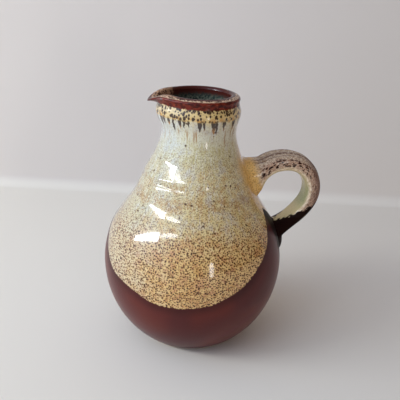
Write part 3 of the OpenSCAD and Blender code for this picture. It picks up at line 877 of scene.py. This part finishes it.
def makeRimAndLiner():
    # Both are their outline turned round the axis, coated on the outside and then back along the clay
    angle = jugAngles()[None]
    outline = rimOutline()
    coated = movedOut(outline, pot["glaze"])
    rows = np.concatenate([coated, outline[::-1]])
    rim = turned(rows[:, :1], rows[:, 1:], angle)
    below = (outline[:, 1] - lipZ) / (lipZ - collar["bandZ"])
    across = (collar["lipR"] - outline[:, 0]) / (collar["lipR"] - collar["boreR"])
    inward = np.where(outline[:, 1] < lipZ, below, across)
    inward = np.concatenate([inward, inward[::-1]])[:, None] * np.ones(grid["columns"])
    addPiece("rimGlaze", rim, "rim_glaze", rimMaterial(), dict(inward=inward))

    clay = insideOutline()
    coated = movedOut(clay, pot["glaze"])
    coated[:, 0] = np.maximum(0, coated[:, 0])
    coated[-1, 0] = 0
    rows = np.concatenate([coated, clay[::-1]])
    liner = turned(rows[:, :1], rows[:, 1:], angle)
    addPiece("linerGlaze", liner, "liner_glaze", linerMaterial(), pole=True)


# Handle

handle = dict(
    rootZ=132.7, rootAngle=59.0, crownRise=16.2, crownOut=34.3, reachDrop=6.6, reachOut=51.3,
    tailZ=90.2, tailAngle=34.0, sink=7.8, pull=0.55,
    rootW=24.0, footW=20.0, rootT=15.8, footT=8.6,
    roundPower=2.8, groove=0.9, groovePitch=0.5, grooveField=0.75,
    upperSpread=2.4, lowerSpread=2.0, luting=17.0,
    webZ=150.2, webNarrow=0.5, webFillet=2.6,
    fillet=(1.2, 3.8), sunk=0.15,   # fillet on the strap's inner face and on its outer face
    filletFrom=-0.9, filletOver=1.4,
    samples=300, columns=128,       # points along each third of the middle line, and round the section
    creamRows=230, creamBack=60, brownRows=90, brownBack=30, filletSteps=8,
)


def bezier(a, b, c, d, n):
    # Cubic through its end points: (1-t)^3 a + 3t(1-t)^2 b + 3t^2(1-t) c + t^3 d
    t = np.linspace(0, 1, n)[:, None]
    return (1 - t) ** 3 * a + 3 * t * (1 - t) ** 2 * b + 3 * t * t * (1 - t) * c + t ** 3 * d


def strapLine():
    # Middle line of the strap in the XZ plane: root to crown, crown to reach, reach to tail
    h = handle
    lean = np.radians(h["rootAngle"])
    tailLean = np.radians(h["tailAngle"])
    rootZ, tailZ = h["rootZ"], h["tailZ"]
    rootR = float(plainR(rootZ))
    root = np.array([float(clayR(rootZ)), rootZ]) - h["sink"] * np.array([np.cos(lean), np.sin(lean)])
    crown = np.array([rootR + h["crownOut"] - pot["wall"], rootZ + h["crownRise"]])
    reach = np.array([rootR + h["reachOut"], rootZ - h["reachDrop"]])
    tail = np.array([float(plainR(tailZ)), tailZ])
    tail = tail - h["sink"] * np.array([np.cos(tailLean), np.sin(tailLean)])
    rootPull = np.linalg.norm(crown - root) * h["pull"] * np.array([np.cos(lean), np.sin(lean)])
    crownPull = np.array([(reach[0] - crown[0]) * h["pull"], 0])
    reachPull = np.array([0, (crown[1] - reach[1]) * h["pull"]])
    tailPull = np.linalg.norm(reach - tail) * h["pull"] * np.array([np.cos(tailLean), np.sin(tailLean)])
    n = h["samples"]
    first = bezier(root, root + rootPull, crown - crownPull, crown, n)
    second = bezier(crown, crown + crownPull, reach + reachPull, reach, n)
    third = bezier(reach, reach - reachPull, tail + tailPull, tail, n)
    return np.concatenate([first, second[1:], third[1:]])


def rounded(c):
    # Superellipse: the cosine or sine raised to 2 / power, with its sign kept
    return np.sign(c) * np.abs(c) ** (2 / handle["roundPower"])


def strapSkin(out):
    # The luted strap: a rounded slab along the middle line, spread at its ends and webbed to the neck
    h = handle
    line = strapLine()
    run = np.gradient(line, axis=0)
    run /= np.linalg.norm(run, axis=1, keepdims=True)
    step = np.linalg.norm(np.diff(line, axis=0), axis=1)
    length = np.concatenate([[0], np.cumsum(step)])
    share = length / length[-1]
    halfT = (h["rootT"] + (h["footT"] - h["rootT"]) * share) / 2
    halfW = (h["rootW"] + (h["footW"] - h["rootW"]) * share) / 2
    # It thickens towards either end by the square of the share of the luting that is left, and over the
    # upper root the web fills the gap under the neck with gap^2 / (gap + fillet)
    upper = np.clip(1 - (length - h["sink"]) / h["luting"], 0, 1) ** 2
    lower = np.clip(1 - (length[-1] - length - h["sink"]) / h["luting"], 0, 1) ** 2
    side = h["upperSpread"] * upper + h["lowerSpread"] * lower
    gap = np.where(np.arange(len(line)) < h["samples"], (h["webZ"] - line[:, 1]) / run[:, 0] - halfT, 0)
    gap = np.maximum(0, gap)
    top = side + gap ** 2 / (gap + h["webFillet"])
    # Grooves along the outer face: a cosine over its width, which fades where the web is deep
    a = np.arange(h["columns"]) * 2 * np.pi / h["columns"]
    y = rounded(np.cos(a))[None]
    wave = np.where(np.abs(y) > h["grooveField"], 0, (1 + np.cos(2 * np.pi * y / h["groovePitch"])) / 2)
    column = (slice(None), None)
    above = np.sin(a)[None] > 0
    grow = np.where(above, top[column], side[column])
    deep = np.where(above, h["groove"] * wave * np.exp(-top[column] / h["groove"]), 0)
    n = (halfT[column] + grow) * rounded(np.sin(a))[None] - deep + out * np.sin(a)[None]
    narrow = 1 - h["webNarrow"] * np.maximum(0, np.sin(a))[None] * (top / (top + halfW))[column]
    wide = (halfW + side + out)[column] * y * narrow
    return np.stack([line[:, :1] - n * run[:, 1:], wide, line[:, 1:] + n * run[:, :1]], -1)


def bodyGap(points):
    # How far points lie outside the glazed body and its tongue, straight out from the axis
    z = points[..., 2]
    reach = np.hypot(points[..., 0], points[..., 1])
    return reach - glazedR(z) - tongueRise(points[..., 1], z)


def crossing(values):
    # Where each column last rises from below zero: whole index and the share of the step beyond it
    index = len(values) - 1 - np.argmax(values[::-1] < 0, axis=0)
    index = np.minimum(index, len(values) - 2)
    column = np.arange(values.shape[1])
    a, b = values[index, column], values[index + 1, column]
    return index + a / (a - b)


def atLengths(skin, lengths, wanted):
    # Points of each column at wanted lengths along it
    return np.stack([np.stack([np.interp(wanted[:, k], lengths[:, k], skin[:, k, c]) for c in range(3)], -1)
                     for k in range(skin.shape[1])], 1)


def filletReach():
    # Length of the fillet round the section: short on the inner face, long on the sides and the outer face
    a = np.arange(handle["columns"]) * 2 * np.pi / handle["columns"]
    low, high = handle["fillet"]
    return low + (high - low) * softStep((rounded(np.sin(a)) - handle["filletFrom"]) / handle["filletOver"])


def filletRows(p, q, steps):
    # From the strap's skin to the body's in a curve that leaves one along its run and meets the other flat:
    # quadratic Bezier p, q, s, with s one fillet away from q across the body, sunk a little under its glaze
    tangent = np.roll(q, -1, 0) - np.roll(q, 1, 0)
    step = 0.2
    slope = (glazedR(q[:, 2] + step) - glazedR(q[:, 2] - step)) / (2 * step)
    radial = q[:, :2] / np.linalg.norm(q[:, :2], axis=1, keepdims=True)
    normal = np.concatenate([radial, -slope[:, None]], 1)
    away = np.cross(tangent, normal)
    away /= np.linalg.norm(away, axis=1, keepdims=True)
    centre = q.mean(0)
    away *= np.sign(np.einsum("ij,ij->i", away, q - centre))[:, None]
    s = q + filletReach()[:, None] * away
    reach = glazedR(s[:, 2]) + tongueRise(s[:, 1], s[:, 2]) - handle["sunk"]
    s[:, :2] *= (reach / np.hypot(s[:, 0], s[:, 1]))[:, None]
    t = np.linspace(0, 1, steps + 1)[1:, None, None]
    return (1 - t) ** 2 * p[None] + 2 * t * (1 - t) * q[None] + t ** 2 * s[None]


def lengthsAlong(skin):
    # Length along each column from its first point: the running sum of its steps
    steps = np.linalg.norm(np.diff(skin, axis=0), axis=2)
    return np.concatenate([np.zeros((1, skin.shape[1])), np.cumsum(steps, axis=0)])


def rowsBetween(a, b, n):
    # n rows of lengths from one row to another: a + (b - a) t
    return a[None] + (b - a)[None] * np.linspace(0, 1, n)[:, None]


def makeHandleCoats():
    # The strap's skin from crease to crease, filleted at both and cut at the border into cream and brown
    h = handle
    skin = strapSkin(pot["glaze"])
    clay = strapSkin(0)
    lengths = lengthsAlong(skin)
    clayLengths = lengthsAlong(clay)
    half = len(skin) // 2
    gap = bodyGap(skin)
    upperAt = crossing(gap[:half])
    lowerAt = len(skin) - 1 - crossing(gap[half:][::-1])
    every = np.arange(len(skin))
    start = np.array([np.interp(upperAt[k], every, lengths[:, k]) for k in range(h["columns"])])
    end = np.array([np.interp(lowerAt[k], every, lengths[:, k]) for k in range(h["columns"])])
    line = strapLine()
    borderAt = 2 * h["samples"] + int(np.argmax(line[2 * h["samples"]:, 1] < strapMarks["border"]))
    middle = lengths[borderAt]

    upperQ = atLengths(skin, lengths, start[None])[0]
    lowerQ = atLengths(skin, lengths, end[None])[0]
    upperRows = rowsBetween(start + filletReach(), middle, h["creamRows"])
    lowerRows = rowsBetween(middle, end - filletReach(), h["brownRows"])
    upperSkin = atLengths(skin, lengths, upperRows)
    lowerSkin = atLengths(skin, lengths, lowerRows)
    upperFillet = filletRows(upperSkin[0], upperQ, h["filletSteps"])[::-1]
    lowerFillet = filletRows(lowerSkin[-1], lowerQ, h["filletSteps"])

    def clayRows(a, b, n):
        # The same rows on the bare strap, found by their shares of its length
        shareA, shareB = a / lengths[-1], b / lengths[-1]
        return atLengths(clay, clayLengths, rowsBetween(shareA, shareB, n) * clayLengths[-1])

    # Round the section from the middle of the inner face, over either edge, to the middle of the outer face
    a = np.arange(h["columns"]) * 2 * np.pi / h["columns"]
    y, n = np.abs(rounded(np.cos(a))), rounded(np.sin(a))
    halfW, halfT = (h["rootW"] + h["footW"]) / 4, (h["rootT"] + h["footT"]) / 4
    around = np.where(n < 0, halfW * y + halfT * (1 + n), halfW * (2 - y) + halfT * (1 + n))
    nearSide = np.where(np.cos(a) < 0, around, -around)

    def marks(fromFillet, rows, toFillet, back):
        # Millimetres along the strap from the upper joint's crease, and round its section
        rise = filletReach() * np.linspace(1, 0, fromFillet, endpoint=False)[:, None]
        fall = filletReach() * np.linspace(0, 1, toFillet + 1)[1:, None]
        along = np.concatenate([rows[:1] - rise, rows, rows[-1:] + fall, np.repeat(rows[:1], back, 0)])
        return dict(along=along - start, around=np.ones((len(along), 1)) * nearSide)

    upperBack = clayRows(middle, start, h["creamBack"])
    upper = np.concatenate([upperFillet, upperSkin, upperBack])
    addPiece("handleCreamGlaze", upper, "handle_cream_glaze", handleMaterial("handleCreamGlaze"),
             marks(h["filletSteps"], upperRows, 0, h["creamBack"]))
    lowerBack = clayRows(end, middle, h["brownBack"])
    lower = np.concatenate([lowerSkin, lowerFillet, lowerBack])
    addPiece("handleBrownGlaze", lower, "handle_brown_glaze", handleMaterial("handleBrownGlaze"),
             marks(0, lowerRows, h["filletSteps"], h["brownBack"]))


bareClay = dict(
    sand=screen(176, 148, 116), brown=screen(150, 122, 94), grain=screen(70, 50, 38),
    patch=12.0, patchEdge=(0.4, 0.65), dot=(2.2, -0.3, 0.45, 0.2), dots=0.8,
    rough=0.85, bump=1.4, bumpH=0.12,
)


def dressClay():
    # The fired clay that the coats leave bare, on the foot ring: sandy buff with dark grains
    paint = Paint("bareClay")
    m = bareClay
    patches = paint.ramp(paint.noise(paint.place, m["patch"]), *m["patchEdge"])
    colour = paint.mix(patches, m["sand"], m["brown"])
    colour = paint.mix(paint.dots(paint.place, *m["dot"]) * m["dots"], colour, m["grain"])
    material = paint.finish(colour, m["rough"], paint.noise(paint.place, m["bump"], *grainy) * m["bumpH"])
    for name in ("thrown_body", "handle", "upper_joint", "lower_joint"):
        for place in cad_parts[name].material_slots:
            place.material = material


makeBodyCoats()
makeRimAndLiner()
makeHandleCoats()
dressClay()
print("jug made")


# Stage, lights and camera

# Where the camera stands and how it is turned, in degrees and millimetres, fitted to the jug's outline
view = dict(
    azimuth=-7.5, distance=483.15, height=304.8, pitch=21.5, yaw=0.446, roll=3.163, lens=58.5, nearest=10.0,
)


def fromCamera(x, y, z):
    # A place given to the right of, behind and above the jug as the camera faces it, in metres
    return Matrix.Rotation(np.radians(view["azimuth"]), 3, "Z") @ Vector((x, y, z)) * metre


def addCamera():
    # Level and forward from yaw and pitch, then both turned by the roll
    camera = bpy.data.objects.new("camera", bpy.data.cameras.new("camera"))
    bpy.context.scene.collection.objects.link(camera)
    camera.data.lens = view["lens"]
    camera.data.clip_start = view["nearest"] * metre
    pitch, yaw, roll = (np.radians(view[key]) for key in ("pitch", "yaw", "roll"))
    forward = Vector((np.sin(yaw) * np.cos(pitch), np.cos(yaw) * np.cos(pitch), -np.sin(pitch)))
    level = Vector((np.cos(yaw), -np.sin(yaw), 0))
    above = level.cross(forward)
    right = np.cos(roll) * level + np.sin(roll) * above
    up = np.cos(roll) * above - np.sin(roll) * level
    turn = Matrix.Rotation(np.radians(view["azimuth"]), 3, "Z")
    axes = turn @ Matrix((right, up, -forward)).transposed()
    place = fromCamera(0, -view["distance"], view["height"])
    camera.matrix_world = Matrix.Translation(place) @ axes.to_4x4()
    bpy.context.scene.camera = camera


# Each lamp by the ends of its long axis, in degrees left of and above the camera as the jug sees them,
# by its breadth in degrees and by its brightness
lamps = dict(
    paneLeft=dict(ends=((54.0, 32.6), (87.0, 17.0)), breadth=4.6, level=31.0, shape="RECTANGLE",
                  colour=(0.93, 0.98, 1.0)),
    paneRight=dict(ends=((24.0, 39.8), (52.5, 33.6)), breadth=2.6, level=15.0, shape="ELLIPSE",
                   colour=(0.93, 0.98, 1.0)),
    slit=dict(ends=((-24.0, 13.0), (-24.0, -8.0)), breadth=5.5, level=9.5, shape="ELLIPSE",
              colour=(1.0, 0.98, 0.94)),
)
# The room glows softly round one side: base + glow * (1 + cosine) / 2 to a power
room = dict(lampDistance=1200.0, middleZ=100.0, base=(0.195, 0.122, 0.072), glow=(1.02, 1.42, 2.06),
            glowFrom=(66.0, 30.0), gather=5.5, seen=screen(206, 202, 198))


def directionOf(left, up):
    # Unit vector before the camera's azimuth: (-sin(left) cos(up), -cos(left) cos(up), sin(up))
    left, up = np.radians(left), np.radians(up)
    return Vector((-np.sin(left) * np.cos(up), -np.cos(left) * np.cos(up), np.sin(up)))


def addLamps():
    # Each lamp is a flat shape across its direction; its power is level * pi * area
    away = room["lampDistance"]
    turn = Matrix.Rotation(np.radians(view["azimuth"]), 3, "Z")
    for name, lamp in lamps.items():
        first, second = (directionOf(*end) for end in lamp["ends"])
        towards = (first + second).normalized()
        data = bpy.data.lights.new(name, "AREA")
        data.shape = lamp["shape"]
        data.size = 2 * away * np.tan(first.angle(second) / 2) * metre
        data.size_y = 2 * away * np.tan(np.radians(lamp["breadth"]) / 2) * metre
        area = data.size * data.size_y * (np.pi / 4 if lamp["shape"] == "ELLIPSE" else 1)
        data.energy = lamp["level"] * np.pi * area
        data.color = lamp["colour"]
        across = (second - first).normalized()
        axes = turn @ Matrix((across, towards.cross(across), towards)).transposed()
        place = fromCamera(*(Vector((0, 0, room["middleZ"])) + towards * away))
        light = bpy.data.objects.new(name, data)
        bpy.context.scene.collection.objects.link(light)
        light.matrix_world = Matrix.Translation(place) @ axes.to_4x4()
    sky = Paint("room", world=True)
    bpy.context.scene.world = sky.material
    towards = turn @ directionOf(*room["glowFrom"])
    look = sky.node("ShaderNodeVectorMath", {"operation": "NORMALIZE"}, {0: sky.place})
    cosine = sky.node("ShaderNodeVectorMath", {"operation": "DOT_PRODUCT"}, {0: look, 1: towards}, "Value")
    lit = ((cosine + 1) / 2) ** room["gather"]
    base, glow = room["base"], room["glow"]
    colour = sky.mix(lit, (*base, 1.0), (*(b + g for b, g in zip(base, glow)), 1.0))
    seen = sky.node("ShaderNodeLightPath", output="Is Camera Ray")
    colour = sky.mix(seen, colour, room["seen"])
    light = sky.node("ShaderNodeBackground", {}, {"Color": colour, "Strength": 1.0})
    sky.node("ShaderNodeOutputWorld", {}, {"Surface": light})


stage = dict(
    wallY=311.0, cove=14.0, front=-1500.0, side=1500.0, top=1500.0, coveSteps=12,
    floor=screen(231, 224, 211), wall=screen(220, 212, 204), shaded=screen(210, 200, 186),
    wallFrom=(2.0, 14.0), shadedAside=(-60, 320), shading=0.6, rough=0.7, grain=4.0, grainH=0.02,
)


def addStage():
    # Floor and wall as one sheet: a level, a quarter circle and an upright
    corner = np.linspace(-np.pi / 2, 0, stage["coveSteps"])
    curve = np.stack([stage["wallY"] - stage["cove"] + stage["cove"] * np.cos(corner),
                      stage["cove"] + stage["cove"] * np.sin(corner)], 1)
    profile = np.concatenate([[[stage["front"], 0]], curve, [[stage["wallY"], stage["top"]]]])
    points = [fromCamera(x, y, z) for y, z in profile for x in (-stage["side"], stage["side"])]
    faces = [(2 * k, 2 * k + 1, 2 * k + 3, 2 * k + 2) for k in range(len(profile) - 1)]
    mesh = bpy.data.meshes.new("backdrop")
    mesh.from_pydata(points, [], faces)
    mesh.shade_smooth()
    paint = Paint("backdrop")
    colour = paint.mix(paint.ramp(paint.z, *stage["wallFrom"]), stage["floor"], stage["wall"])
    # Painted shade: floor and wall darken towards the right, away from the lamps
    azimuth = np.radians(view["azimuth"])
    aside = paint.x * float(np.cos(azimuth)) + paint.y * float(np.sin(azimuth))
    colour = paint.mix(paint.ramp(aside, *stage["shadedAside"]) * stage["shading"], colour, stage["shaded"])
    sheet = paint.surface(colour, stage["rough"], paint.noise(paint.place, stage["grain"]) * stage["grainH"])
    # Seen from behind or below, the sheet is clear, so that every view shows the jug
    behind = paint.node("ShaderNodeNewGeometry", output="Backfacing")
    clear = paint.node("ShaderNodeBsdfTransparent")
    sheet = paint.node("ShaderNodeMixShader", {}, {0: behind, 1: sheet, 2: clear})
    paint.node("ShaderNodeOutputMaterial", {}, {"Surface": sheet})
    mesh.materials.append(paint.material)
    backdrop = bpy.data.objects.new("backdrop", mesh)
    bpy.context.scene.collection.objects.link(backdrop)


addCamera()
addLamps()
addStage()
bpy.context.scene.view_settings.view_transform = "Standard"
print("stage made")
